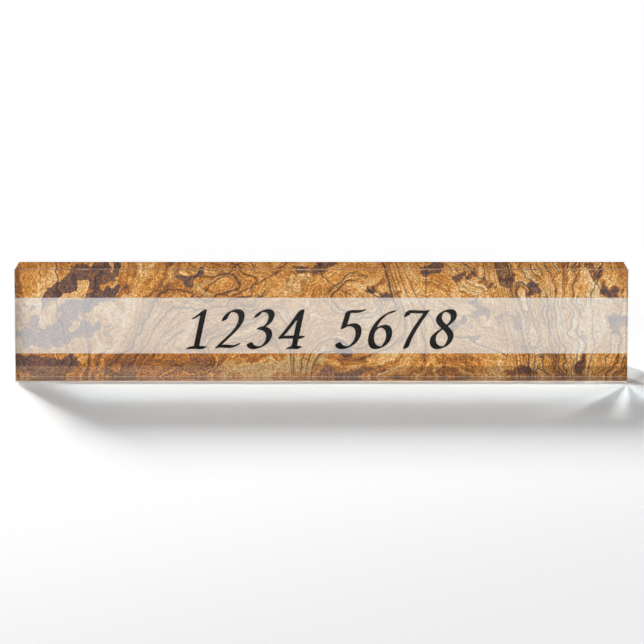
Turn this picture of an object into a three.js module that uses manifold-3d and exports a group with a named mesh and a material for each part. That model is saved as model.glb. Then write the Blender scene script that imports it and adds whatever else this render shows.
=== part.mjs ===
// A desk name plate: a clear acrylic block with polished, broken edges. A printed stone-pattern
// film is bonded to its back face and is seen through the block. A pale see-through strip lies
// between the adhesive and the print and carries the name's place. An opaque white sheet closes
// the back, and four thin clear discs lift the block off the desk.
//
// Millimetres. +X runs along the plate to the reader's right, -Y points at the reader, +Z is up.
// The origin is the centre of the whole plate's box, at the level of the desk.

import * as THREE from "three";
import { mergeVertices } from "three/addons/utils/BufferGeometryUtils.js";
import Module from "manifold-3d";

const wasm = await Module();
wasm.setup();

// Block. The back edges stay nearly sharp, because the layers are trimmed flush with them.
const PLATE_LENGTH = 203.2;
const BLOCK_HEIGHT = 38.1;
const BLOCK_THICKNESS = 19.05;
const EDGE_CHAMFER = 0.35;
const LOWER_FRONT_CHAMFER = 0.75;
const BACK_CHAMFER = 0.1;

// Layers behind the block, from front to back
const ADHESIVE_OVER_BAND = 0.1;
const BAND_THICKNESS = 0.1;
const PRINT_THICKNESS = 0.15;
const BACKING_THICKNESS = 0.5;

// Pale strip, measured up the block from its underside
const BAND_HEIGHT = 18.8;
const BAND_BOTTOM = 8.0;

// Feet. The margins run from the edge of the block's flat underside to the edge of a foot.
const FOOT_DIAMETER = 6.4;
const FOOT_HEIGHT = 0.5;
const FOOT_CHAMFER = 0.12;
const FOOT_SIDES = 48;
const FOOT_END_MARGIN = 8.0;
const FOOT_SIDE_MARGIN = 0.6;

// Heights and depths that several pieces share
const blockBottom = FOOT_HEIGHT;
const blockTop = blockBottom + BLOCK_HEIGHT;
const adhesiveThickness = ADHESIVE_OVER_BAND + BAND_THICKNESS;
const layersThickness = adhesiveThickness + PRINT_THICKNESS + BACKING_THICKNESS;
const frontFace = -(BLOCK_THICKNESS + layersThickness) / 2;
const blockBack = frontFace + BLOCK_THICKNESS;
const bandFront = blockBack + ADHESIVE_OVER_BAND;
const printFront = blockBack + adhesiveThickness;
const backingFront = printFront + PRINT_THICKNESS;

// The layers cover the flat of the block's back face.
const layerEnd = PLATE_LENGTH / 2 - BACK_CHAMFER;
const layerBottom = blockBottom + BACK_CHAMFER;
const layerTop = blockTop - BACK_CHAMFER;
const bandBottom = blockBottom + BAND_BOTTOM;
const bandTop = bandBottom + BAND_HEIGHT;

const plate = new THREE.Group();

// Adds a named piece to the plate.
function addPiece(name, geometry, colour, roughness) {
  const material = new THREE.MeshStandardMaterial({ color: colour, roughness, metalness: 0 });
  const mesh = new THREE.Mesh(geometry, material);
  mesh.name = name;
  plate.add(mesh);
  return mesh;
}

// The axes along which an outline can be extruded. Each gives the directions of the outline's
// first and second coordinate and of the extrusion.
const alongX = [[0, 1, 0], [0, 0, 1], [1, 0, 0]];
const alongY = [[0, 0, 1], [1, 0, 0], [0, 1, 0]];
const alongZ = [[1, 0, 0], [0, 1, 0], [0, 0, 1]];

// Extrudes an outline along an axis, from start to end on that axis.
function prism(outline, axes, start, end) {
  const shape = new THREE.Shape(outline.map(([a, b]) => new THREE.Vector2(a, b)));
  const geometry = new THREE.ExtrudeGeometry(shape, { depth: end - start, bevelEnabled: false });
  geometry.translate(0, 0, start);
  const [first, second, third] = axes.map((axis) => new THREE.Vector3(...axis));
  return geometry.applyMatrix4(new THREE.Matrix4().makeBasis(first, second, third));
}

// A rectangle from low to high with its corners cut. The cuts are given anticlockwise, from the
// corner where both coordinates are low.
function cutRectangle([lowA, lowB], [highA, highB], [cut1, cut2, cut3, cut4]) {
  return [
    [lowA + cut1, lowB],
    [highA - cut2, lowB],
    [highA, lowB + cut2],
    [highA, highB - cut3],
    [highA - cut3, highB],
    [lowA + cut4, highB],
    [lowA, highB - cut4],
    [lowA, lowB + cut1],
  ];
}

// Turns a closed geometry into a solid that can be joined and cut.
function toSolid(geometry) {
  const bare = geometry.clone();
  bare.deleteAttribute("normal");
  bare.deleteAttribute("uv");
  const merged = mergeVertices(bare);
  return new wasm.Manifold(new wasm.Mesh({
    numProp: 3,
    vertProperties: new Float32Array(merged.attributes.position.array),
    triVerts: new Uint32Array(merged.index.array),
  }));
}

// Turns a solid back into a geometry.
function toGeometry(solid) {
  const { vertProperties, triVerts } = solid.getMesh();
  const geometry = new THREE.BufferGeometry();
  geometry.setAttribute("position", new THREE.BufferAttribute(vertProperties, 3));
  geometry.setIndex(new THREE.BufferAttribute(triVerts, 1));
  geometry.computeVertexNormals();
  return geometry;
}

// Clear block: what three chamfered outlines, one along each axis, have in common. The long edge
// below the front face is broken wider than the others.
function blockGeometry() {
  const end = PLATE_LENGTH / 2;
  const edge = EDGE_CHAMFER;
  const back = BACK_CHAMFER;
  const side = cutRectangle([frontFace, blockBottom], [blockBack, blockTop], [LOWER_FRONT_CHAMFER, back, back, edge]);
  const face = cutRectangle([blockBottom, -end], [blockTop, end], [edge, edge, edge, edge]);
  const plan = cutRectangle([-end, frontFace], [end, blockBack], [edge, edge, back, back]);
  const sideSolid = toSolid(prism(side, alongX, -end, end));
  const faceSolid = toSolid(prism(face, alongY, frontFace, blockBack));
  const planSolid = toSolid(prism(plan, alongZ, blockBottom, blockTop));
  return toGeometry(sideSolid.intersect(faceSolid).intersect(planSolid));
}
addPiece("acrylic_block", blockGeometry(), 0xf3f6f5, 0.04);

// A layer of the length that all layers share, from its outline of depth and height
function layer(outline) {
  return prism(outline, alongX, -layerEnd, layerEnd);
}

// A layer with one thickness, between two heights
function flatLayer(front, thickness, bottom, top) {
  const back = front + thickness;
  return layer([[front, bottom], [back, bottom], [back, top], [front, top]]);
}

// Clear adhesive. It is thinner where it flows over the pale strip, which lies sunk in its back.
const adhesiveOutline = [
  [blockBack, layerBottom],
  [printFront, layerBottom],
  [printFront, bandBottom],
  [bandFront, bandBottom],
  [bandFront, bandTop],
  [printFront, bandTop],
  [printFront, layerTop],
  [blockBack, layerTop],
];
addPiece("adhesive_film", layer(adhesiveOutline), 0xeef2ee, 0.1);

// Pale strip behind the name
addPiece("name_band", flatLayer(bandFront, BAND_THICKNESS, bandBottom, bandTop), 0xd3c1b1, 0.5);

// Film printed with the stone pattern
addPiece("stone_print", flatLayer(printFront, PRINT_THICKNESS, layerBottom, layerTop), 0xb38252, 0.45);

// White sheet on the back
addPiece("backing_sheet", flatLayer(backingFront, BACKING_THICKNESS, layerBottom, layerTop), 0xf0f0ed, 0.6);

// Feet, one near each corner of the underside
const footRadius = FOOT_DIAMETER / 2;
const footProfile = [
  [0, 0],
  [footRadius - FOOT_CHAMFER, 0],
  [footRadius, FOOT_CHAMFER],
  [footRadius, FOOT_HEIGHT],
  [0, FOOT_HEIGHT],
].map(([radius, height]) => new THREE.Vector2(radius, height));
const fromSide = FOOT_SIDE_MARGIN + footRadius;
const rows = {
  front: frontFace + LOWER_FRONT_CHAMFER + fromSide,
  rear: blockBack - BACK_CHAMFER - fromSide,
};
const footX = PLATE_LENGTH / 2 - EDGE_CHAMFER - FOOT_END_MARGIN - footRadius;
const ends = { left: -footX, right: footX };
for (const [row, y] of Object.entries(rows)) {
  for (const [end, x] of Object.entries(ends)) {
    const foot = new THREE.LatheGeometry(footProfile, FOOT_SIDES).rotateX(Math.PI / 2);
    addPiece(`foot_${row}_${end}`, foot, 0xe6eaea, 0.2).position.set(x, y, 0);
  }
}

export default plate;
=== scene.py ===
import math

import bpy
import numpy as np
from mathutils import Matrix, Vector


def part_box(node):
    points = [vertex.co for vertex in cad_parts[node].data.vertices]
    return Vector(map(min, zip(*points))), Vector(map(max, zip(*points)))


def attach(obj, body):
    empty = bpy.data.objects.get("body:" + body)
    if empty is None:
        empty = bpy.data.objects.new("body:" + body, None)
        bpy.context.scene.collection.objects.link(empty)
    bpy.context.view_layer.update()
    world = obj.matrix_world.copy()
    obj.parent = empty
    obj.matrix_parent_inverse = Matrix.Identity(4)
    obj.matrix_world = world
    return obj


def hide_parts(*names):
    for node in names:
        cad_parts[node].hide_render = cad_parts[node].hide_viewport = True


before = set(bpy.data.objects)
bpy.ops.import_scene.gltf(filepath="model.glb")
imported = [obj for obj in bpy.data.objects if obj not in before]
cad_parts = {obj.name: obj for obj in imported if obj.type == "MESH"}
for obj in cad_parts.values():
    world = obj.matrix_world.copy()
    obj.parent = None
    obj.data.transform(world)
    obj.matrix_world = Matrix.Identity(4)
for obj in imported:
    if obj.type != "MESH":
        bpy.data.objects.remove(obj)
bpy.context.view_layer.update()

# Clear block. One piece of cast acrylic, sawn, planed and flame polished on every side, with its
# edges broken on a polishing wheel and the lower front edge broken wider. The clear adhesive
# behind it bends light as the acrylic does, so the block is drawn on to the face of the print.
SIDE_BREAK = 0.00035
LOWER_FRONT_BREAK = 0.00075
BACK_BREAK = 0.0001
BREAK_SEGMENTS = 3
# How far the block is drawn into the print, and how far the layers behind it keep from its ends.
CONTACT = 0.00002
END_GAP = 0.000001
ACRYLIC_BEND = 1.49
FACE_TINT = (0.985, 0.995, 0.99)
FACE_MIRROR = (0.42, 0.42, 0.42, 1)
FACE_WAVES = 0.000006


def mesh_object(name, points, faces):
    """A mesh object at the origin from an array of points and a list of faces."""
    mesh = bpy.data.meshes.new(name)
    mesh.from_pydata(np.asarray(points, float).tolist(), [], [list(map(int, face)) for face in faces])
    mesh.update()
    piece = bpy.data.objects.new(name, mesh)
    bpy.context.scene.collection.objects.link(piece)
    return piece


def bar(name, profile, x_low, x_high):
    """A closed profile of (y, z) points, anticlockwise seen from +X, carried straight along X."""
    profile = np.asarray(profile, float)
    count = len(profile)
    points = np.vstack([np.column_stack([np.full(count, x), profile]) for x in (x_low, x_high)])
    ring = np.arange(count)
    after = (ring + 1) % count
    walls = np.column_stack([ring, after, after + count, ring + count])
    return mesh_object(name, points, [*walls.tolist(), ring[::-1].tolist(), (ring + count).tolist()])


def new_material(name):
    """A node material with a lone Principled shader. Returns the material, its tree and the shader."""
    material = bpy.data.materials.new(name)
    material.use_nodes = True
    return material, material.node_tree, material.node_tree.nodes["Principled BSDF"]


def add_node(tree, kind, inputs=(), **settings):
    """Adds a node, sets its properties, and sets or links its inputs by name or number."""
    node = tree.nodes.new(kind)
    for key, value in settings.items():
        setattr(node, key, value)
    for key, value in dict(inputs).items():
        if isinstance(value, bpy.types.NodeSocket):
            tree.links.new(value, node.inputs[key])
        else:
            node.inputs[key].default_value = value
    return node


def let_lamps_through(tree, shader):
    """Mixes the shader with a clear one for shadow rays, so that lamps shine through it."""
    path = add_node(tree, "ShaderNodeLightPath")
    clear = add_node(tree, "ShaderNodeBsdfTransparent")
    mix = add_node(tree, "ShaderNodeMixShader",
                   {0: path.outputs["Is Shadow Ray"], 1: shader.outputs[0], 2: clear.outputs[0]})
    tree.links.new(mix.outputs[0], tree.nodes["Material Output"].inputs["Surface"])


def grain(tree, scale, detail=2.0, roughness=0.5):
    """Noise on Object coordinates, in cells to the metre. Returns the value from 0 to 1."""
    place = add_node(tree, "ShaderNodeTexCoord")
    return add_node(tree, "ShaderNodeTexNoise", {"Vector": place.outputs["Object"], "Scale": scale,
                                                 "Detail": detail, "Roughness": roughness}).outputs[0]


def dent(tree, shader, height, depth):
    """Bump of a given depth in metres from a height between 0 and 1."""
    bump = add_node(tree, "ShaderNodeBump", {"Height": height, "Strength": 1.0, "Distance": depth})
    tree.links.new(bump.outputs[0], shader.inputs["Normal"])


def laid_over(tree, amount, under, over, kind="MIX"):
    """Mixes a colour over another one by an amount."""
    return add_node(tree, "ShaderNodeMix", {0: amount, 6: under, 7: over}, data_type="RGBA",
                    blend_type=kind).outputs[2]


def acrylic(name, tint, roughness, bend, waviness, lamps_pass=True):
    """Clear acrylic: a faint tint, a bend (index), and the low waves that flame polishing leaves.

    An end that lamps don't pass sends their light elsewhere, and so throws a shadow.
    """
    material, tree, shader = new_material(name)
    paler = (*(0.99 * np.array(tint)), 1)
    tree.links.new(laid_over(tree, grain(tree, 18.0), (*tint, 1), paler), shader.inputs["Base Color"])
    shader.inputs["Roughness"].default_value = roughness
    shader.inputs["IOR"].default_value = bend
    shader.inputs["Transmission Weight"].default_value = 1.0
    dent(tree, shader, grain(tree, 60.0), waviness)
    if lamps_pass:
        let_lamps_through(tree, shader)
    return material, shader


block_low, block_high = (np.array(corner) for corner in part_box("acrylic_block"))
print_low, print_high = (np.array(corner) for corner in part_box("stone_print"))
layer_left, layer_right = block_low[0] + END_GAP, block_high[0] - END_GAP

front_face, back_face = block_low[1], print_low[1] + CONTACT
underside, top = block_low[2], block_high[2]
block = bar("acrylic_block_polished", [
    (front_face + LOWER_FRONT_BREAK, underside), (back_face, underside), (back_face, top), (front_face, top),
    (front_face, underside + LOWER_FRONT_BREAK)], block_low[0], block_high[0])
ends = np.array([[block.data.vertices[v].co[:] for v in edge.vertices] for edge in block.data.edges])
middle = ends.mean(axis=1)
at_back = np.abs(middle[:, 1] - back_face) < CONTACT / 10
at_back_end = at_back & (np.abs(middle[:, 0]) > 0.9 * block_high[0])
lower_front = 1.1 * LOWER_FRONT_BREAK
at_lower_front = (middle[:, 1] < front_face + lower_front) & (middle[:, 2] < underside + lower_front)
weights = block.data.attributes.new("bevel_weight_edge", "FLOAT", "EDGE")
weights.data.foreach_set("value", np.where(at_back_end, 0.0, np.where(
    at_back | at_lower_front, BACK_BREAK / SIDE_BREAK, 1.0)))
bevel = block.modifiers.new("broken edges", "BEVEL")
bevel.width = SIDE_BREAK
bevel.segments = BREAK_SEGMENTS
bevel.limit_method = "WEIGHT"

faces_material, shader = acrylic("clear acrylic", FACE_TINT, 0.0, ACRYLIC_BEND, FACE_WAVES)
shader.inputs["Specular Tint"].default_value = FACE_MIRROR
# Through the top the photograph shows the print darker and unbent, so the top tints and doesn't bend.
# The top's brown tint is painted shade over the print seen through it.
top_shade_material, shader = acrylic("clear acrylic top", (0.66, 0.59, 0.48), 0.0, 1.0, FACE_WAVES)
shader.inputs["Coat Weight"].default_value = 0.03
shader.inputs["Coat Roughness"].default_value = 0.02
# The broken edges' grey tint is painted shade that dims them.
edge_shade_material, shader = acrylic("clear acrylic broken edge", (0.62, 0.60, 0.57), 0.05, ACRYLIC_BEND, 0.00001)
shader.inputs["Specular Tint"].default_value = (0.15, 0.15, 0.15, 1)
# The underside's dark matt share is painted shade over the print it mirrors.
under_shade_material, shader = acrylic("clear acrylic underside", (0.16, 0.17, 0.15), 0.02, ACRYLIC_BEND, 0.000002)
shader.inputs["Transmission Weight"].default_value = 0.56
lower_material, shader = acrylic("clear acrylic lower edge", (0.97, 0.98, 0.975), 0.35, ACRYLIC_BEND, 0.00002)
shader.inputs["Metallic"].default_value = 0.58
end_material, shader = acrylic("clear acrylic left end", FACE_TINT, 0.0, ACRYLIC_BEND, FACE_WAVES, False)
shader.inputs["Specular Tint"].default_value = FACE_MIRROR
block_materials = [faces_material, top_shade_material, edge_shade_material, under_shade_material, lower_material, end_material]
for material in block_materials:
    block.data.materials.append(material)
bevel.material = block_materials.index(edge_shade_material)
# The bar's walls follow its profile, and its left end comes last but one.
UNDERSIDE, TOP, LOWER_BREAK, LEFT_END = 0, 2, 4, 5
for wall, material in ((TOP, top_shade_material), (UNDERSIDE, under_shade_material),
                       (LOWER_BREAK, lower_material), (LEFT_END, end_material)):
    block.data.polygons[wall].material_index = block_materials.index(material)
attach(block, "root")
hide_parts("acrylic_block")

# Clear adhesive. A film of optically clear glue that bonds the print to the block's flat back and
# flows over the pale strip. It bends light as the acrylic does, so its own faces don't show: the
# block, drawn on to the print, bends the light for both.
FILM_GAP = 0.000005

film_low, film_high = (np.array(corner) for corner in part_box("adhesive_film"))
strip_low, strip_high = (np.array(corner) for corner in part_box("name_band"))
film_back = print_low[1] - FILM_GAP
notch_front = strip_low[1] - FILM_GAP
film = bar("adhesive_film_clear", [
    (film_low[1], film_low[2]), (film_back, film_low[2]),
    (film_back, strip_low[2] - FILM_GAP), (notch_front, strip_low[2] - FILM_GAP),
    (notch_front, strip_high[2] + FILM_GAP), (film_back, strip_high[2] + FILM_GAP),
    (film_back, film_high[2]), (film_low[1], film_high[2])], layer_left, layer_right)
glue, tree, shader = new_material("clear adhesive")
tree.links.new(laid_over(tree, grain(tree, 300.0, 3.0), (0.985, 0.99, 0.98, 1), (1.0, 1.0, 1.0, 1)),
               shader.inputs["Base Color"])
shader.inputs["Roughness"].default_value = 0.0
shader.inputs["IOR"].default_value = 1.0
shader.inputs["Transmission Weight"].default_value = 1.0
let_lamps_through(tree, shader)
film.data.materials.append(glue)
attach(film, "root")
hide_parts("adhesive_film")

# Pale strip. A length of thin frosted white film laid across the print from end to end, as the
# ground that makes the figures easy to read. The print shows through it.
STRIP_WHITE = (0.83, 0.83, 0.83)
STRIP_COVER = 0.08
STRIP_UNEVEN = 0.02


def ease(tree, value, low, high, start=0.0, end=1.0):
    """Eases from start to end as the value goes from low to high."""
    return add_node(tree, "ShaderNodeMapRange", {0: value, 1: low, 2: high, 3: start, 4: end},
                    interpolation_type="SMOOTHSTEP").outputs[0]


strip = bar("name_band_frosted", [
    (strip_low[1], strip_low[2]), (strip_high[1] - 2 * FILM_GAP, strip_low[2]),
    (strip_high[1] - 2 * FILM_GAP, strip_high[2]), (strip_low[1], strip_high[2])],
    layer_left, layer_right)
frost, tree, shader = new_material("frosted white film")
mottle = grain(tree, 1400.0, 3.0, 0.6)
duller, brighter = ((*(share * np.array(STRIP_WHITE)), 1) for share in (0.97, 1.03))
tree.links.new(laid_over(tree, mottle, duller, brighter), shader.inputs["Base Color"])
tree.links.new(ease(tree, mottle, 0.2, 0.8, STRIP_COVER - STRIP_UNEVEN, STRIP_COVER + STRIP_UNEVEN),
               shader.inputs["Alpha"])
shader.inputs["Roughness"].default_value = 0.6
shader.inputs["Specular IOR Level"].default_value = 0.0
let_lamps_through(tree, shader)
strip.data.materials.append(frost)
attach(strip, "root")
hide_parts("name_band")

# Figures. A row of plain numbers printed in near-black ink on the strip, written with a broad nib:
# thick where the nib moves across itself and thin where it moves along itself, and sloping.
FIGURE_HEIGHT = 0.0136
FIGURE_STEP = 0.0104
GROUP_GAP = 0.0088
FIGURE_SLOPE = math.tan(math.radians(12))
NIB_LONG, NIB_SHORT = 0.00112, 0.00027
NIB_TURN = math.radians(24)
INK_THICKNESS = 0.00003
INK_CELL = 0.00015
FIGURES = "1234 5678"
FIGURE_FOOT = 0.0099
FIGURE_MIDDLE = 0.0003
FIGURE_SHIFT = 0.0008
# The sheet that the figures are worked out on, and how far each figure's ink can reach past its step.
SHEET_HALF = 0.050
SHEET_MARGIN = 0.001
REACH_LEFT, REACH_RIGHT = 0.003, 0.004
FAR_FROM_INK = 9.0
# Each figure is a list of strokes. A stroke is one or more cubic curves end to end, in millimetres.
STROKES = {
    "1": [[(4.3, 13.0), (4.3, 9), (4.3, 5), (4.3, 0.6)], [(1.7, 10.7), (2.6, 11.2), (3.6, 12.2), (4.3, 13.0)],
          [(1.9, 0.5), (3.5, 0.7), (5.2, 0.7), (6.8, 0.5)]],
    "2": [[(1.4, 10.0), (1.8, 12.4), (3.2, 13.05), (4.3, 13.05), (6.3, 13.05), (7.1, 11.6), (7.0, 9.9),
           (6.8, 6.6), (3.2, 3.8), (1.2, 0.9)], [(1.2, 0.8), (3.0, 1.7), (5.6, 0.1), (7.5, 1.6)]],
    "3": [[(1.6, 11.2), (2.2, 12.6), (3.2, 13.05), (4.2, 13.05), (6.0, 13.05), (6.6, 11.9), (6.5, 10.5),
           (6.4, 8.6), (5.0, 7.5), (3.3, 7.2)],
          [(3.3, 7.2), (5.8, 7.2), (7.2, 5.9), (7.1, 4.0), (7.0, 1.8), (5.2, 0.55), (3.5, 0.55),
           (2.4, 0.55), (1.5, 1.0), (1.1, 1.9)]],
    "4": [[(5.6, 13.0), (4.2, 10.0), (2.6, 7.0), (0.8, 4.3)], [(0.8, 4.0), (3, 4.2), (5.4, 4.2), (7.8, 4.0)],
          [(5.8, 12.9), (5.8, 9), (5.8, 5), (5.8, 0.6)], [(4.1, 0.5), (5.0, 0.7), (6.3, 0.7), (7.5, 0.5)]],
    "5": [[(2.3, 12.7), (3.8, 13.0), (5.6, 12.4), (7.2, 13.1)],
          [(2.3, 12.7), (2.2, 11), (2.0, 9), (1.8, 7.3)],
          [(1.8, 7.3), (2.8, 8.1), (3.6, 8.3), (4.3, 8.3), (6.3, 8.3), (7.3, 6.7), (7.2, 4.6),
           (7.1, 2.2), (5.3, 0.55), (3.5, 0.55), (2.4, 0.55), (1.5, 1.0), (1.1, 1.9)]],
    "6": [[(6.9, 12.7), (4.6, 12.4), (1.5, 9.6), (1.3, 5.0), (1.2, 2.2), (2.6, 0.55), (4.3, 0.55),
           (6.1, 0.55), (7.2, 2.2), (7.2, 4.2), (7.2, 6.3), (6.0, 7.8), (4.5, 7.8), (3.2, 7.8), (2.0, 6.9),
           (1.4, 5.4)]],
    "7": [[(1.3, 11.4), (1.4, 11.9), (1.5, 12.3), (1.6, 12.8)],
          [(1.5, 12.6), (3.5, 13.0), (5.5, 12.3), (7.7, 12.8)],
          [(7.7, 12.8), (5.6, 8.6), (3.7, 4.6), (3.3, 0.6)]],
    "8": [[(4.3, 13.05), (2.6, 13.05), (1.8, 11.9), (1.8, 10.6), (1.8, 8.4), (7.1, 6.6), (7.1, 3.9),
           (7.1, 1.8), (5.8, 0.55), (4.2, 0.55), (2.5, 0.55), (1.3, 1.9), (1.3, 3.8),
           (1.3, 6.4), (6.7, 8.0), (6.7, 10.6), (6.7, 12.0), (5.8, 13.05), (4.3, 13.05)]],
}


def stroke_path(points, samples=90):
    """Points along cubic curves that share their ends: the sum of controls times Bernstein weights."""
    t = np.linspace(0, 1, samples)[:, None]
    weights = np.hstack([(1 - t) ** 3, 3 * t * (1 - t) ** 2, 3 * t * t * (1 - t), t ** 3])
    points = np.array(points) / 1000
    return np.vstack([weights @ points[k:k + 4] for k in range(0, len(points) - 1, 3)])


def nib_field(x, z, path):
    """How far each place is from the inked path, in nibs less one: below zero is inside the ink."""
    turn = np.array([[math.cos(NIB_TURN), math.sin(NIB_TURN)], [-math.sin(NIB_TURN), math.cos(NIB_TURN)]])
    measure = turn / np.array([[NIB_LONG], [NIB_SHORT]])
    place = measure @ np.stack([x.ravel(), z.ravel()])
    nib = measure @ path.T
    gaps = place.T @ nib * -2 + (place ** 2).sum(0)[:, None] + (nib ** 2).sum(0)
    return (np.sqrt(np.maximum(gaps.min(axis=1), 0)) - 1).reshape(x.shape)


def inked_plate(name, x, z, field, y_front, y_back):
    """A flat plate that fills a field's part below zero, cell by cell, with a wall along its outline.

    Each grid cell gives one polygon: its corners inside the ink, and the places on its sides where
    the field passes zero, found by straight-line interpolation.
    """
    rows, columns = field.shape
    grid = np.arange(rows * columns).reshape(rows, columns)
    inside = field < 0
    across = field[:, :-1] / (field[:, :-1] - field[:, 1:] + 1e-12)
    up = field[:-1] / (field[:-1] - field[1:] + 1e-12)
    points = np.vstack([
        np.column_stack([x.ravel(), z.ravel()]),
        np.column_stack([(x[:, :-1] + across * INK_CELL).ravel(), z[:, :-1].ravel()]),
        np.column_stack([x[:-1].ravel(), (z[:-1] + up * INK_CELL).ravel()])])
    along = grid.size + np.arange(rows * (columns - 1)).reshape(rows, columns - 1)
    rise = grid.size + along.size + np.arange((rows - 1) * columns).reshape(rows - 1, columns)
    ring = [grid[:-1, :-1], along[:-1], grid[:-1, 1:], rise[:, 1:],
            grid[1:, 1:], along[1:], grid[1:, :-1], rise[:, :-1]]
    held = [inside[:-1, :-1], inside[:-1, 1:], inside[1:, 1:], inside[1:, :-1]]
    kind = sum(held[k].astype(int) << k for k in range(4))
    fronts, walls = [], []
    for case in range(1, 16):
        here = kind == case
        if not here.any():
            continue
        chosen = []
        for k in range(4):
            this, following = case >> k & 1, case >> (k + 1) % 4 & 1
            chosen += [2 * k] * this + [2 * k + 1] * (this != following)
        fronts += np.column_stack([ring[k][here] for k in chosen]).tolist()
        for first, second in zip(chosen, chosen[1:] + chosen[:1]):
            if first % 2 and second % 2:
                walls.append(np.column_stack([ring[first][here], ring[second][here]]))
    walls = np.vstack(walls)
    used, flat = np.unique(np.concatenate([np.array(face) for face in fronts]), return_inverse=True)
    sizes = np.cumsum([len(face) for face in fronts])[:-1]
    fronts = [face.tolist() for face in np.split(flat, sizes)]
    walls = np.searchsorted(used, walls)
    count = len(used)
    flat_points = points[used]
    solid = np.vstack([np.column_stack([flat_points[:, 0], np.full(count, y), flat_points[:, 1]])
                       for y in (y_front, y_back)])
    backs = [[index + count for index in face[::-1]] for face in fronts]
    joins = np.column_stack([walls[:, 1], walls[:, 0], walls[:, 0] + count, walls[:, 1] + count]).tolist()
    return mesh_object(name, solid, fronts + backs + joins)


x_lines = np.arange(-SHEET_HALF, SHEET_HALF, INK_CELL)
z_lines = np.arange(-SHEET_MARGIN, FIGURE_HEIGHT + SHEET_MARGIN, INK_CELL)
sheet_x, sheet_z = np.meshgrid(x_lines, z_lines)
ink_field = np.full(sheet_x.shape, FAR_FROM_INK)
width = sum(GROUP_GAP if figure == " " else FIGURE_STEP for figure in FIGURES)
pen = -width / 2
for figure in FIGURES:
    near = (x_lines > pen - REACH_LEFT) & (x_lines < pen + FIGURE_STEP + REACH_RIGHT)
    for stroke in STROKES.get(figure, []):
        path = stroke_path(stroke)
        path[:, 0] += pen + FIGURE_SLOPE * path[:, 1] - FIGURE_SLOPE * FIGURE_HEIGHT / 2 + FIGURE_SHIFT
        inked = nib_field(sheet_x[:, near], sheet_z[:, near], path)
        ink_field[:, near] = np.minimum(ink_field[:, near], inked)
    pen += GROUP_GAP if figure == " " else FIGURE_STEP
ink_back = notch_front - FILM_GAP
figures = inked_plate("name_band_figures", sheet_x + FIGURE_MIDDLE, sheet_z + FIGURE_FOOT, ink_field,
                      ink_back - INK_THICKNESS, ink_back)
ink, tree, shader = new_material("near-black ink")
blacker, greyer = (0.006, 0.006, 0.006, 1), (0.010, 0.010, 0.010, 1)
tree.links.new(laid_over(tree, grain(tree, 2500.0, 4.0, 0.6), blacker, greyer), shader.inputs["Base Color"])
shader.inputs["Roughness"].default_value = 0.5
shader.inputs["Specular IOR Level"].default_value = 0.0
figures.data.materials.append(ink)
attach(figures, "root")

# Stone print. A thin film printed from edge to edge with the cut face of a banded sandstone: iron
# has stained it in strata, dark patches with pale rims, thin dark veins and a fine sandy grain. Its
# broad layout was read off the photograph, and seeded noise makes everything smaller.
PRINT_PITCH = 0.0003


def ripple(x, y, seed):
    """Smooth noise from about -1 to 1: each grid corner pulls along a direction drawn once from the
    seed, and the four pulls are blended by the fifth-degree ease curve."""
    spin = np.random.default_rng(seed).uniform(0, 2 * np.pi, (64, 64))
    i, j = np.floor(x).astype(int), np.floor(y).astype(int)
    fx, fy = x - i, y - j

    def pull(di, dj):
        turn = spin[(i + di) % 64, (j + dj) % 64]
        return np.cos(turn) * (fx - di) + np.sin(turn) * (fy - dj)

    sx, sy = (t ** 3 * (t * (6 * t - 15) + 10) for t in (fx, fy))
    low = pull(0, 0) * (1 - sx) + pull(1, 0) * sx
    high = pull(0, 1) * (1 - sx) + pull(1, 1) * sx
    return 1.5 * (low * (1 - sy) + high * sy)


def roughen(x, y, seed, octaves=4, gain=0.5):
    """A sum of ripples, each half as long as the last and weaker by the gain."""
    return sum(gain ** k * ripple(x * 2 ** k, y * 2 ** k, seed + k) for k in range(octaves))


def blob(u, v, centre_u, centre_v, long, short, turn):
    """Height over an ellipse: its lesser radius in the middle, zero on its outline, below outside."""
    a = math.radians(turn)
    p = (u - centre_u) * math.cos(a) + (v - centre_v) * math.sin(a)
    q = (v - centre_v) * math.cos(a) - (u - centre_u) * math.sin(a)
    return (1 - np.hypot(p / long, q / short)) * min(long, short)


def blobs(u, v, rows):
    """The highest of many ellipses."""
    return np.max([blob(u, v, *row) for row in rows], axis=0)


def step(value, low, high):
    """Eases from 0 to 1 between two values."""
    t = np.clip((value - low) / (high - low), 0, 1)
    return t * t * (3 - 2 * t)


def from_line(field, carrier):
    """Distance in millimetres from where a field passes zero: its size over the steepness of the
    carrier it was made from. Where that is nearly level, there is no line."""
    rise_v, rise_u = np.gradient(carrier, PRINT_PITCH * 1000)
    steep = np.hypot(rise_u, rise_v)
    return np.clip(np.abs(field) / np.maximum(steep, 0.02), 0, 3) + 3 * (1 - step(steep, 0.04, 0.09))


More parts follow.
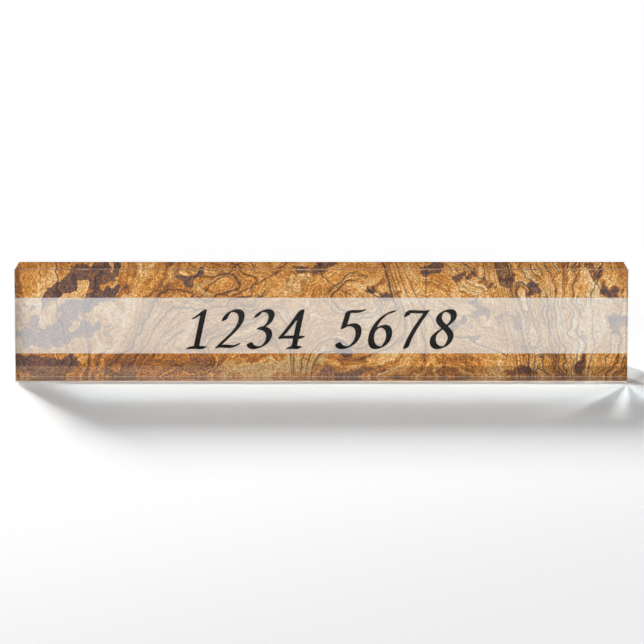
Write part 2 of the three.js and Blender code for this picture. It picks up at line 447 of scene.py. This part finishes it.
# All places are in millimetres from the print's left end and up from its foot.
# Patches are ellipses: centre, half the length each way, and turn in degrees.
DARK_PATCHES = [
    (15, 31, 12, 2.6, 28), (27, 33, 6, 3.4, 30), (24, 24, 9, 3.6, 18), (31, 27, 5, 2.4, 50),
    (13, 17, 9, 3.2, 22), (4, 19, 3, 1.6, 70), (24, 15, 5, 1.8, 5), (9, 4.5, 9, 3.2, 4),
    (33, 1.5, 4, 1.3, 0), (3, 12, 3, 1.6, -30),
    (101, 36, 4, 1.3, 0), (112, 1.5, 7, 1.6, 8), (108, 9.5, 4, 1.4, -8), (121, 31, 2.0, 1.5, 20),
    (123, 26, 2.6, 1.4, 5), (130, 28, 1.3, 1.0, 0), (138, 36, 2.4, 1.4, 0), (146, 33, 1.4, 1.0, 0),
    (150, 34, 3.4, 1.6, 10), (158, 31, 2.6, 1.3, -20), (164, 34, 2.4, 1.2, 0), (153, 25, 2.2, 1.0, 8),
    (146, 20, 4, 1.6, 12), (156, 21, 5, 2.2, -10), (164, 18, 2.6, 1.3, -10), (152, 14, 2.4, 1.2, 0),
    (170, 30, 1.6, 1.6, 30), (199, 29, 2.4, 2.6, -20), (200, 18, 2.6, 3.2, 10), (193, 33, 1.1, 3.4, 35),
    (188, 5, 1.6, 3.2, -12), (168, 2, 4, 1.1, 0), (58, 35, 3, 1.0, 30)]
GREYED_PATCH = (84, 3.0, 22, 3.6, 8)
PALE_PATCHES = [
    (20, 29, 7, 1.3, 30), (33, 21, 4.5, 2.6, -35), (27, 8.5, 8, 1.5, 16), (5, 26, 3.5, 2, 60),
    (9, 34, 4, 1.4, 34), (12, 24, 5, 1.2, 35), (38, 28, 1.3, 4.5, -10), (84, 3.0, 20, 2.6, 8),
    (98, 8, 8, 1.8, 14), (91, 30, 8, 1.5, 35), (58, 14, 2, 6, -10), (124, 7, 7, 2.0, 0),
    (133, 28, 3.4, 2.2, 60), (118, 20, 5, 2.4, 30), (146, 29, 2.0, 1.8, 20), (160, 25, 3.4, 1.1, -20),
    (148, 24, 3.4, 1.1, 10), (182, 20, 0.9, 9, 15), (186, 10, 0.9, 7, 18), (192, 31, 0.9, 5, 40),
    (176, 30, 0.8, 6, 8), (190, 16, 5, 6, 0)]
# Dark cracks: middle, lean, bend, and half the height.
CRACKS = [
    (136.2, 19, 0.0, 0.0, 22), (66, 32, 1.25, 0.05, 6.5), (51, 18, 0.70, 0.012, 11),
    (83, 33, 1.7, -0.05, 5.5), (103, 33, -1.0, 0.10, 5.5), (193.5, 31, -0.75, 0.04, 7.5),
    (120, 24, -0.5, 0.03, 5)]
# Soft stains: centre, reach along and up, and how much paler or darker.
STAINS = [
    (34, 3, 36, 6, -0.20), (72, 3, 16, 5, -0.12), (106, 4, 12, 6, -0.24), (104, 35, 8, 3, -0.10),
    (150, 4, 22, 6, -0.02), (20, 24, 16, 9, -0.06), (55, 30, 9, 7, 0.04), (118, 30, 7, 6, 0.05),
    (190, 20, 9, 14, 0.14), (66, 18, 14, 8, -0.02), (152, 30, 14, 7, 0.05), (178, 30, 6, 8, 0.12)]
# Eyes in the grain: centre, reach along and up, and how far the strata rise there.
EYES = [(72, 30, 15, 7, 9), (60, 5, 7, 3, 5)]
# Centres of the fan of rays, the rings and the upright strata, and where each kind takes over.
FAN_CENTRE, RING_CENTRE, UPRIGHT_CENTRE = (18, -22), (113, 27), (190, -26)
RINGS_FROM, SLANTING_FROM, UPRIGHT_FROM = (84, 106), (126, 140), (160, 172)
MOTTLED_FROM, MOTTLED_TO = (137, 141), (168, 175)
MID_HEIGHT = 18
SAME_ROW = 0.37


def from_crack(u, v, middle_u, middle_v, lean, bend, half):
    """Distance in millimetres from a crack: the level difference from u = middle + lean t + bend t^2,
    with t the height over its middle, over the crack's slant, and more past its ends."""
    t = v - middle_v
    slant = np.hypot(1, lean + 2 * bend * t)
    return np.abs(u - middle_u - lean * t - bend * t * t) / slant + np.clip(np.abs(t) - half, 0, 3)


def hill(u, v, centre_u, centre_v, reach_u, reach_v, height):
    """A soft hill: the height times the bell curve of the distance, in reaches, from its centre."""
    return height * np.exp(-((u - centre_u) / reach_u) ** 2 - ((v - centre_v) / reach_v) ** 2)


def stone_fields(u, v):
    """The fields that the print's colours follow, over u from the left end and v from the foot, in mm.

    The strata phase is blended along the plate from a fan of rays, rings, slanting and upright
    lines, with hills for eyes in the grain, all on wandering coordinates.
    """
    wu = u + 3.2 * roughen(u / 17, v / 17, 11, 3) + 0.9 * roughen(u / 4.5, v / 4.5, 21, 3)
    wv = v + 2.6 * roughen(u / 17, v / 17, 31, 3) + 0.9 * roughen(u / 4.5, v / 4.5, 41, 3)
    fan = 26 * np.arctan2(wv - FAN_CENTRE[1], wu - FAN_CENTRE[0])
    rings = 0.9 * np.hypot((wu - RING_CENTRE[0]) / 1.25, wv - RING_CENTRE[1]) + 10
    slanting = 0.21 * wu + 0.45 * wv + 6
    upright = 62 * np.arctan2(wu - UPRIGHT_CENTRE[0], wv - UPRIGHT_CENTRE[1]) + 40
    to_rings = step(u, *RINGS_FROM)
    to_slanting = step(u + 0.35 * (v - MID_HEIGHT), *SLANTING_FROM)
    to_upright = step(u + 0.3 * (v - MID_HEIGHT), *UPRIGHT_FROM)
    strata = fan + (rings - fan) * to_rings
    strata = strata + (slanting - strata) * to_slanting
    strata = strata + (upright - strata) * to_upright
    for eye in EYES:
        strata = strata + hill(wu, wv, *eye)
    mottled = step(u, *MOTTLED_FROM) * (1 - step(u, *MOTTLED_TO))
    ragged = 1.5 * roughen(wu / 4.2, wv / 4.2, 51, 5, 0.62)
    dark = blobs(wu, wv, DARK_PATCHES) + ragged + 0.25
    dark = dark + mottled * 0.8 * roughen(u / 3, v / 3, 61, 4, 0.65)
    pale = blobs(wu, wv, PALE_PATCHES) + 1.1 * roughen(u / 5, v / 5, 71, 5, 0.6) + 0.1
    dark = (dark - 0.9 * np.clip(pale + 0.3, 0, 2)) * (1 - 0.65 * step(u, 60, 80)) - 0.12 * mottled
    row = np.full_like(u, SAME_ROW)
    vein = ripple(strata * 0.34, row, 81)
    layers = 0.36 * strata + 0.4 * ripple(strata * 0.2, row, 161) + 0.12 * roughen(u / 6, v / 6, 171, 3)
    bedded = np.clip(0.45 - 0.45 * step(u, 78, 100) + to_upright * (1 - step(u, 188, 192)), 0, 1)
    bedded = bedded * step(roughen(u / 12, v / 12, 181, 2), -0.5, 0.3) * step(u, 38, 52)
    frayed_u = u + 0.5 * roughen(u / 3, v / 3, 95, 3)
    return {
        "strata": strata, "dark": dark, "pale": pale,
        "vein": from_line(vein, vein),
        "contour": from_line(layers - np.round(layers), layers) + 3 * (1 - step(bedded, 0.1, 0.4)),
        "bed": bedded * ((1 - layers % 1) ** 3 - 0.25),
        "crack": np.min([from_crack(frayed_u, v, *crack) for crack in CRACKS], axis=0),
        "greyed": blob(wu, wv, *GREYED_PATCH) + 0.6 * roughen(u / 4, v / 4, 141, 3),
        "sandy": mottled * (1 - step(v, 9, 14)),
        "drift": 0.13 * roughen(u / 11, v / 9, 151, 3) + sum(hill(u, v, *stain) for stain in STAINS)}


columns = int(round((print_high[0] - print_low[0]) / PRINT_PITCH)) + 1
rows = int(round((print_high[2] - print_low[2]) / PRINT_PITCH)) + 1
print_x = np.linspace(print_low[0], print_high[0], columns)
print_z = np.linspace(print_low[2], print_high[2], rows)
grid_x, grid_z = np.meshgrid(print_x, print_z)
front_points = np.column_stack([grid_x.ravel() * layer_right / print_high[0],
                                np.full(grid_x.size, print_low[1]), grid_z.ravel()])
index = np.arange(grid_x.size).reshape(rows, columns)
cells = np.stack([index[:-1, :-1], index[:-1, 1:], index[1:, 1:], index[1:, :-1]], -1).reshape(-1, 4)
back_corners = index.size + np.arange(4)
back_points = [(x, print_high[1] - FILM_GAP, z) for x, z in (
    (layer_left, print_low[2]), (layer_right, print_low[2]),
    (layer_right, print_high[2]), (layer_left, print_high[2]))]
b0, b1, b2, b3 = back_corners.tolist()
rims = [[*index[0, ::-1].tolist(), b0, b1], [*index[::-1, -1].tolist(), b1, b2],
        [*index[-1].tolist(), b2, b3], [*index[:, 0].tolist(), b3, b0]]
stone = mesh_object("stone_print_banded", np.vstack([front_points, back_points]),
                    [*cells.tolist(), *rims, [b3, b2, b1, b0]])
fields = stone_fields((grid_x - print_low[0]) * 1000, (grid_z - print_low[2]) * 1000)
for name, field in fields.items():
    held = stone.data.attributes.new(name, "FLOAT", "POINT")
    held.data.foreach_set("value", np.append(field.ravel(), np.zeros(4)).astype(np.float32))

# The print's colours, from its darkest tone to its palest, in parts of 255. They and the painted
# reflection and shade along the foot were adjusted to the mean colours of broad areas of the photograph.
TONES = [(0.00, (77, 61, 64)), (0.14, (107, 82, 74)), (0.28, (138, 92, 61)), (0.42, (172, 106, 50)),
         (0.54, (201, 135, 61)), (0.66, (214, 156, 84)), (0.80, (222, 180, 124)), (0.92, (232, 204, 162)),
         (1.00, (238, 220, 190))]
VEIN_COLOUR = (62, 42, 44)
GREYED_COLOUR = (170, 155, 118)
VEIN_COVER = 0.85
GREYED_COVER = 0.6
SAND_DEPTH, SANDY_DEPTH = 0.13, 0.06
STONE_SPECKS, GLARE_SHADE_SPECKS = 0.30, 0.60
DISPLAY_GAMMA = 2.2
STRIP_PALING = 0.66
STRIP_TINT = (0.915, 0.925, 0.945, 1)
# Painted reflection and shade along the print's foot: paler on the left, darker on the right.
GLARE_SHADE_HEIGHT = 0.0035
GLARE_SHADE_RAGGED = 0.0001
GLARE_SHADE_TURN = (-0.05, 0.05)
GLARE_COLOUR_LEFT = (0.56, 0.335, 0.205, 1)
SHADE_COLOUR_RIGHT = (0.07, 0.025, 0.012, 1)
GLARE_SHADE_COVER = 0.30
GLARE_SHADE_COVER_RIGHT = 0.42


def ink_colour(parts):
    """A colour from three parts in 255, as linear light with alpha."""
    parts = np.array(parts) / 255
    return (*np.where(parts <= 0.04045, parts / 12.92, ((parts + 0.055) / 1.055) ** 2.4).tolist(), 1.0)


def reckon(tree, operation, first, second=0.0):
    """One sum on two values or sockets."""
    return add_node(tree, "ShaderNodeMath", {0: first, 1: second}, operation=operation).outputs[0]


def height_above(tree, level):
    """Height on the piece above a level, in metres, from Object coordinates."""
    place = add_node(tree, "ShaderNodeTexCoord")
    parts = add_node(tree, "ShaderNodeSeparateXYZ", {0: place.outputs["Object"]})
    return reckon(tree, "SUBTRACT", parts.outputs[2], level)


def carried(tree, name):
    """One of the fields that the print's mesh carries."""
    return add_node(tree, "ShaderNodeAttribute", attribute_name=name).outputs["Fac"]


def banding(tree, phase, scale, detail):
    """Noise along the strata alone, from about -1 to 1."""
    along = reckon(tree, "MULTIPLY", phase, scale)
    noise = add_node(tree, "ShaderNodeTexNoise", {"W": along, "Scale": 1.0, "Detail": detail},
                     noise_dimensions="1D").outputs[0]
    return reckon(tree, "MULTIPLY", reckon(tree, "SUBTRACT", noise, 0.5), 4.0)


def total(tree, *terms):
    """The sum of socket and weight pairs and plain numbers."""
    result = 0.0
    for term in terms:
        part = reckon(tree, "MULTIPLY", *term) if isinstance(term, tuple) else term
        result = reckon(tree, "ADD", result, part)
    return result


def swing(tree, scale, detail=2.0, roughness=0.5):
    """Noise on Object coordinates from about -1 to 1."""
    return reckon(tree, "MULTIPLY", reckon(tree, "SUBTRACT", grain(tree, scale, detail, roughness), 0.5), 4.0)


def towards(tree, value, target, amount):
    """Moves a value to a target by an amount from 0 to 1."""
    return add_node(tree, "ShaderNodeMix", {0: amount, 2: value, 3: target}, data_type="FLOAT").outputs[0]


def times(tree, *factors):
    """The product of sockets and plain numbers."""
    result = factors[0]
    for factor in factors[1:]:
        result = reckon(tree, "MULTIPLY", result, factor)
    return result


def window(tree, value, rise, fall):
    """Eases from 0 to 1 over one stretch of a value, and back to 0 over another."""
    return times(tree, ease(tree, value, *rise), ease(tree, value, *fall, 1.0, 0.0))


def specked(tree, colour, sand, depth):
    """A colour times one plus depth times the sand's swing."""
    speck = add_node(tree, "ShaderNodeCombineXYZ", dict.fromkeys(range(3), total(tree, 1.0, (sand, depth))))
    return laid_over(tree, 1.0, colour, speck.outputs[0], "MULTIPLY")


sandstone, tree, shader = new_material("banded sandstone print")
phase, dark, pale = (carried(tree, name) for name in ("strata", "dark", "pale"))
tone = total(tree, 0.55, carried(tree, "drift"), (banding(tree, phase, 0.45, 3.0), 0.15),
             (banding(tree, phase, 1.3, 3.0), 0.12), (banding(tree, phase, 2.6, 2.0), 0.10),
             (carried(tree, "bed"), 0.42))
pale_tone = total(tree, 0.80, (banding(tree, phase, 2.0, 2.0), 0.06), (swing(tree, 500.0, 3.0), 0.08))
dark_tone = total(tree, 0.15, (swing(tree, 420.0, 4.0), 0.13), (banding(tree, phase, 1.2, 2.0), 0.10))
is_pale = ease(tree, pale, -0.3, 0.6, 0.0, 0.7)
tone = towards(tree, tone, pale_tone, is_pale)
rim = window(tree, dark, (-1.4, -0.2), (-0.2, 0.1))
tone = total(tree, tone, (rim, 0.10))
tone = towards(tree, tone, dark_tone, ease(tree, dark, -0.15, 0.30))
sand = swing(tree, 2000.0, 1.0)
sand_depth = total(tree, SAND_DEPTH, (carried(tree, "sandy"), SANDY_DEPTH))
tone = total(tree, tone, (sand, sand_depth))
ramp = add_node(tree, "ShaderNodeValToRGB", {0: tone})
while len(ramp.color_ramp.elements) < len(TONES):
    ramp.color_ramp.elements.new(0.5)
for element, (position, parts) in zip(ramp.color_ramp.elements, TONES):
    element.position = position
    element.color = ink_colour(parts)
colour = ramp.outputs[0]
greyed = times(tree, ease(tree, carried(tree, "greyed"), -0.2, 0.6), is_pale, GREYED_COVER)
colour = laid_over(tree, greyed, colour, ink_colour(GREYED_COLOUR))
fade = ease(tree, swing(tree, 140.0, 2.0), -0.9, -0.2)
vein = times(tree, fade, ease(tree, carried(tree, "vein"), 0.10, 0.46, 1.0, 0.0))
fine = banding(tree, phase, 0.9, 2.0)
crack = ease(tree, carried(tree, "crack"), 0.08, 0.38, 0.9, 0.0)
fine_vein = ease(tree, reckon(tree, "ABSOLUTE", fine), 0.01, 0.07, 0.5, 0.0)
contour = ease(tree, carried(tree, "contour"), 0.10, 0.42, 0.95, 0.0)
lines = vein
for line in (crack, fine_vein, contour):
    lines = reckon(tree, "MAXIMUM", lines, line)
colour = laid_over(tree, times(tree, lines, VEIN_COVER), colour, ink_colour(VEIN_COLOUR))
colour = specked(tree, colour, sand, STONE_SPECKS)

# Under the strip the print is made paler, which keeps the figures easy to read.
# The strip's two faces lay their own white over that, so as much is taken off here.
level = height_above(tree, 0.0)
under_strip = times(tree, reckon(tree, "GREATER_THAN", level, strip_low[2]),
                    reckon(tree, "LESS_THAN", level, strip_high[2]))
lifted = add_node(tree, "ShaderNodeGamma", {0: colour, 1: 1 / DISPLAY_GAMMA}).outputs[0]
lifted = laid_over(tree, STRIP_PALING, lifted, STRIP_TINT)
lifted = add_node(tree, "ShaderNodeGamma", {0: lifted, 1: DISPLAY_GAMMA}).outputs[0]
total_cover = 1 - (1 - STRIP_COVER) ** 2
lifted = add_node(tree, "ShaderNodeVectorMath", {
    0: lifted, 1: [1 / (1 - total_cover)] * 3,
    2: [-total_cover * STRIP_WHITE[0] / (1 - total_cover)] * 3}, operation="MULTIPLY_ADD").outputs[0]
lifted = add_node(tree, "ShaderNodeVectorMath", {0: lifted, 1: [0.01] * 3}, operation="MAXIMUM").outputs[0]
colour = laid_over(tree, under_strip, colour, lifted)

# Along its foot the photograph shows the print duller. That is painted reflection, paler over the
# left half, and painted shade, darker over the right half, drawn in the print's colours.
above = total(tree, height_above(tree, print_low[2]), (swing(tree, 90.0, 4.0), GLARE_SHADE_RAGGED))
place = add_node(tree, "ShaderNodeTexCoord")
along = add_node(tree, "ShaderNodeSeparateXYZ", {0: place.outputs["Object"]}).outputs[0]
glare_and_shade = times(tree, ease(tree, above, GLARE_SHADE_HEIGHT - GLARE_SHADE_RAGGED, GLARE_SHADE_HEIGHT + 2 * GLARE_SHADE_RAGGED, 1.0, 0.0),
             ease(tree, grain(tree, 700.0, 3.0), 0.3, 0.7, 0.8, 1.1),
             ease(tree, along, *GLARE_SHADE_TURN, GLARE_SHADE_COVER, GLARE_SHADE_COVER_RIGHT))
glare_and_shade_colour = laid_over(tree, ease(tree, along, *GLARE_SHADE_TURN), GLARE_COLOUR_LEFT, SHADE_COLOUR_RIGHT)
colour = laid_over(tree, glare_and_shade, colour, specked(tree, glare_and_shade_colour, sand, GLARE_SHADE_SPECKS))
tree.links.new(colour, shader.inputs["Base Color"])
shader.inputs["Roughness"].default_value = 0.55
shader.inputs["Specular IOR Level"].default_value = 0.0
stone.data.materials.append(sandstone)
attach(stone, "root")
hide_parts("stone_print")

# Backing. A sheet of satin white vinyl, stuck all over the print's back and cut flush with it, that
# closes the plate. It is flat, so its CAD solid shows as it is and only takes a material here.
vinyl, tree, shader = new_material("satin white vinyl")
leather = grain(tree, 2200.0, 3.0, 0.6)
cloud = laid_over(tree, grain(tree, 35.0, 3.0), (0.70, 0.70, 0.69, 1), (0.74, 0.74, 0.73, 1))
tree.links.new(laid_over(tree, times(tree, leather, 0.15), cloud, (0.62, 0.62, 0.60, 1)),
               shader.inputs["Base Color"])
tree.links.new(ease(tree, leather, 0.3, 0.7, 0.38, 0.5), shader.inputs["Roughness"])
dent(tree, shader, leather, 0.00002)
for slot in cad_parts["backing_sheet"].material_slots:
    slot.material = vinyl

# Feet. Four thin self-adhesive discs of clear soft plastic under the block's corners, die cut
# from a moulded sheet, so their rims are rounded and their undersides a little crowned.
# The hair's breadth between foot and block lets the block's underside mirror the print over it.
FOOT_GAP = 0.000005
FOOT_PROFILE_STEPS = 6
FOOT_SIDES = 64
RIM_ROUND = 0.6
CROWN = 0.5


def disc(name, low, high):
    """A disc under the block: radius and height follow a quarter of a rounded rim, turned about Z."""
    centre = (low + high) / 2
    radius, height = (high[0] - low[0]) / 2, high[2] - low[2]
    rim_round = RIM_ROUND * height
    turn = np.linspace(0, np.pi / 2, FOOT_PROFILE_STEPS)
    radii = np.concatenate([[radius * CROWN], radius - rim_round * (1 - np.sin(turn)), [radius]])
    levels = np.concatenate([[0.0], rim_round * (1 - np.cos(turn)), [height]]) + low[2]
    around = np.arange(FOOT_SIDES) * 2 * np.pi / FOOT_SIDES
    rings = [np.column_stack([centre[0] + r * np.cos(around), centre[1] + r * np.sin(around),
                              np.full(FOOT_SIDES, z)]) for r, z in zip(radii, levels)]
    k = np.arange(FOOT_SIDES)
    after = (k + 1) % FOOT_SIDES
    faces = [k[::-1].tolist()]
    for ring in range(len(rings) - 1):
        a, b = ring * FOOT_SIDES, (ring + 1) * FOOT_SIDES
        faces += np.column_stack([a + k, a + after, b + after, b + k]).tolist()
    faces.append((k + (len(rings) - 1) * FOOT_SIDES).tolist())
    return mesh_object(name, np.vstack(rings), faces)


soft, tree, shader = new_material("clear soft plastic")
tree.links.new(laid_over(tree, grain(tree, 900.0, 3.0), (0.86, 0.87, 0.86, 1), (0.93, 0.94, 0.93, 1)),
               shader.inputs["Base Color"])
tree.links.new(ease(tree, grain(tree, 3000.0), 0.3, 0.7, 0.25, 0.4), shader.inputs["Roughness"])
shader.inputs["IOR"].default_value = 1.45
shader.inputs["Transmission Weight"].default_value = 0.85
let_lamps_through(tree, shader)
for corner in ("front_left", "front_right", "rear_left", "rear_right"):
    foot_low, foot_high = (np.array(point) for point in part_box("foot_" + corner))
    foot = disc("foot_" + corner + "_moulded", foot_low, foot_high - [0, 0, FOOT_GAP])
    foot.data.materials.append(soft)
    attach(foot, "root")
    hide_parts("foot_" + corner)

# Desk and light. A plain white desk, a broad soft lamp low in front of the plate, and another behind
# it that throws the plate's shadow forwards. What the clear block does to the light on the desk is
# drawn in the desk's own colour and glow, as the photograph shows it.
DESK_SEEN = (2.15, 2.15, 2.15, 1)
BLACK, WHITE = (0, 0, 0, 1), (1, 1, 1, 1)
SHADOW_SLANT = math.tan(math.radians(17))
# Pairs are stretches in metres: along the plate, from its left or right end, or ahead of its face.
FACE_LINE = (-0.0005, 0.0)
LEAK = 0.29
LEAK_COLOUR = (0.66, 0.88, 0.97, 1)
LEAK_LEFT, LEAK_RIGHT = (0.007, 0.019), (0.0, 0.006)
LEAK_START, LEAK_END = (0.0, 0.002), (0.018, 0.048)
LEAK_IN_SHADE = 1.5
CORNER_SHADE = 0.44
CORNER_RISE, CORNER_FALL = (0.0005, 0.003), (0.004, 0.034)
CORNER_END = (-0.030, 0.090)
COOLING = (0.985, 1.0, 1.015, 1)
COOLING_LEFT, COOLING_RIGHT = (-0.002, 0.004), (-0.004, 0.002)
COOLING_END = (0.0, 0.12)
FAR_SHADE = 0.145
FAR_SLANT = 1.13
FAR_STRETCH = (0.10, 0.47)
# Streaks and shades that the block's right end throws from its front corner: degrees to the right
# of straight ahead, and how much brighter or darker the desk is there. Behind the corner they keep
# close to the plate.
STREAKS = [(-180, -0.65), (-168, 0.0), (-36, 0.0), (-22, 0.35), (-18, -0.33), (-11, -0.33), (-6, 1.0),
           (-2, -0.19), (3, -0.13), (8, 0.5), (16, 0.2), (30, 0.0), (75, -0.14), (92, -0.72), (150, -0.85),
           (161, -0.95), (168, -0.75), (173, -0.65), (180, -0.65)]
STREAK_GLOW = 0.32
STREAK_SHADE = 0.62
STREAK_START, STREAK_END = (0.0, 0.006), (0.035, 0.085)
STREAK_SIDE_SLOPE = 3.2
STREAK_SIDE_END = (0.048, 0.058)


def seen_rays(tree):
    """One for rays that see the surface: outright, mirrored or through a clear piece."""
    path = add_node(tree, "ShaderNodeLightPath").outputs
    return reckon(tree, "MAXIMUM", path["Is Camera Ray"],
                  reckon(tree, "MAXIMUM", path["Is Glossy Ray"], path["Is Transmission Ray"]))


def stretch(start, pair):
    """A pair of places counted from a start."""
    return [start + place for place in pair]


floor = mesh_object("desk", [(-6, -6, 0), (6, -6, 0), (6, 6, 0), (-6, 6, 0)], [(0, 1, 2, 3)])
desk, tree, shader = new_material("white desk")
tree.nodes.remove(shader)
seen = seen_rays(tree)
white = laid_over(tree, grain(tree, 6.0), (0.89, 0.89, 0.89, 1), (0.91, 0.91, 0.91, 1))
white = laid_over(tree, seen, white, DESK_SEEN)
place = add_node(tree, "ShaderNodeTexCoord")
parts = add_node(tree, "ShaderNodeSeparateXYZ", {0: place.outputs["Object"]})
ahead = reckon(tree, "SUBTRACT", block_low[1], parts.outputs[1])
along = total(tree, parts.outputs[0], (ahead, -SHADOW_SLANT))
left_end, right_end = block_low[0], block_high[0]

# Streaks at the right end.
away = reckon(tree, "SUBTRACT", parts.outputs[0], right_end)
first, spread = STREAKS[0][0], STREAKS[-1][0] - STREAKS[0][0]
share = total(tree, (reckon(tree, "ARCTAN2", away, ahead), math.degrees(1) / spread), -first / spread)
streaks = add_node(tree, "ShaderNodeValToRGB", {0: share})
while len(streaks.color_ramp.elements) < len(STREAKS):
    streaks.color_ramp.elements.new(0.5)
for element, (direction, level) in zip(streaks.color_ramp.elements, STREAKS):
    element.position = (direction - first) / spread
    element.color = (*[(1 + level) / 2] * 3, 1)
reach = reckon(tree, "SQRT", total(tree, (away, away), (ahead, ahead)))
side = total(tree, (reckon(tree, "ABSOLUTE", away), STREAK_SIDE_SLOPE), (ahead, -1.0))
near = times(tree, ease(tree, reach, *STREAK_START), ease(tree, ahead, *STREAK_END, 1.0, 0.0),
             ease(tree, side, *STREAK_SIDE_END, 1.0, 0.0))
streak = times(tree, total(tree, -1.0, (streaks.outputs[0], 2.0)), near)
shade = reckon(tree, "MINIMUM", streak, 0.0)
bright = times(tree, reckon(tree, "MAXIMUM", streak, 0.0), STREAK_GLOW)

# Painted light that leaks through the block along its whole front, and glows with the streaks.
leak = times(tree, ease(tree, ahead, *LEAK_END, LEAK, 0.0),
             window(tree, along, stretch(left_end, LEAK_LEFT), stretch(right_end, LEAK_RIGHT)),
             ease(tree, ahead, *LEAK_START), total(tree, 1.0, (shade, LEAK_IN_SHADE)))
share = reckon(tree, "DIVIDE", bright, total(tree, leak, bright, 0.0001))
tint = laid_over(tree, share, LEAK_COLOUR, WHITE)
glow_strength = times(tree, total(tree, leak, bright), seen)
glow = add_node(tree, "ShaderNodeEmission", {0: tint, 1: glow_strength}).outputs[0]

# Painted shade beside the right end and in the shadow's left corner, a painted cooler cast by the plate, and
# painted dimming far off.
white = laid_over(tree, times(tree, shade, -STREAK_SHADE), white, BLACK)
corner = times(tree, window(tree, along, stretch(left_end, CORNER_RISE), stretch(left_end, CORNER_FALL)),
               ease(tree, ahead, *FACE_LINE), ease(tree, ahead, *CORNER_END, CORNER_SHADE, 0.0))
white = laid_over(tree, corner, white, BLACK)
cooled = times(tree, window(tree, along, stretch(left_end, COOLING_LEFT), stretch(right_end, COOLING_RIGHT)),
               ease(tree, ahead, *FACE_LINE), ease(tree, ahead, *COOLING_END, 1.0, 0.0))
white = laid_over(tree, cooled, white, COOLING, "MULTIPLY")
far = total(tree, ahead, (parts.outputs[0], FAR_SLANT))
white = laid_over(tree, ease(tree, far, *FAR_STRETCH, 0.0, FAR_SHADE), white, BLACK)
matt = add_node(tree, "ShaderNodeBsdfDiffuse", {0: white}).outputs[0]
lit = add_node(tree, "ShaderNodeAddShader", {0: matt, 1: glow}).outputs[0]
tree.links.new(lit, tree.nodes["Material Output"].inputs["Surface"])
floor.data.materials.append(desk)

# The studio's walls light the plate weakly. Where they are seen outright, mirrored or through the
# clear block, they are as white as the desk.
WALL_LIGHT = 0.08
WALL_SEEN = 0.95
world = bpy.data.worlds.new("studio")
world.use_nodes = True
tree = world.node_tree
bounced = add_node(tree, "ShaderNodeLightPath").outputs["Diffuse Depth"]
seen = times(tree, seen_rays(tree), reckon(tree, "LESS_THAN", bounced, 0.5))
tree.links.new(ease(tree, seen, 0.0, 1.0, WALL_LIGHT, WALL_SEEN), tree.nodes["Background"].inputs["Strength"])
tree.nodes["Background"].inputs["Color"].default_value = WHITE
bpy.context.scene.world = world


def sun(name, azimuth, elevation, strength, angle):
    """A soft distant lamp. Azimuth 0 stands behind the plate and turns towards its right.

    The clear pieces already let it through, so rays that they bend don't meet it a second time.
    """
    lamp = bpy.data.lights.new(name, "SUN")
    lamp.energy = strength
    lamp.angle = math.radians(angle)
    holder = bpy.data.objects.new(name, lamp)
    bpy.context.scene.collection.objects.link(holder)
    a, e = math.radians(azimuth), math.radians(elevation)
    towards_lamp = Vector((math.sin(a) * math.cos(e), math.cos(a) * math.cos(e), math.sin(e)))
    holder.rotation_euler = towards_lamp.to_track_quat("Z", "Y").to_euler()
    holder.visible_transmission = False


sun("front lamp", 181, 12.7, 1.70, 20)
sun("back lamp", -17, 15.4, 3.15, 11)

# Camera. It stands in front of the plate's middle, a little above it, and looks down at its face.
# Its distance and height were fitted until the plate's edges lay where the photograph has them.
ELEVATION = math.radians(8.0)
DISTANCE = 1.380
LENS = 232.8
AIM_ALONG, AIM_HEIGHT = 0.00020, 0.02092
camera_data = bpy.data.cameras.new("camera")
camera_data.sensor_width = 36.0
camera_data.lens = LENS
camera_data.clip_end = 50
camera = bpy.data.objects.new("camera", camera_data)
bpy.context.scene.collection.objects.link(camera)
aim = Vector((AIM_ALONG, block_low[1], AIM_HEIGHT))
to_camera = Vector((0, -math.cos(ELEVATION), math.sin(ELEVATION)))
camera.location = aim + DISTANCE * to_camera
camera.rotation_euler = to_camera.to_track_quat("Z", "Y").to_euler()
bpy.context.scene.camera = camera
bpy.context.scene.view_settings.view_transform = "Standard"
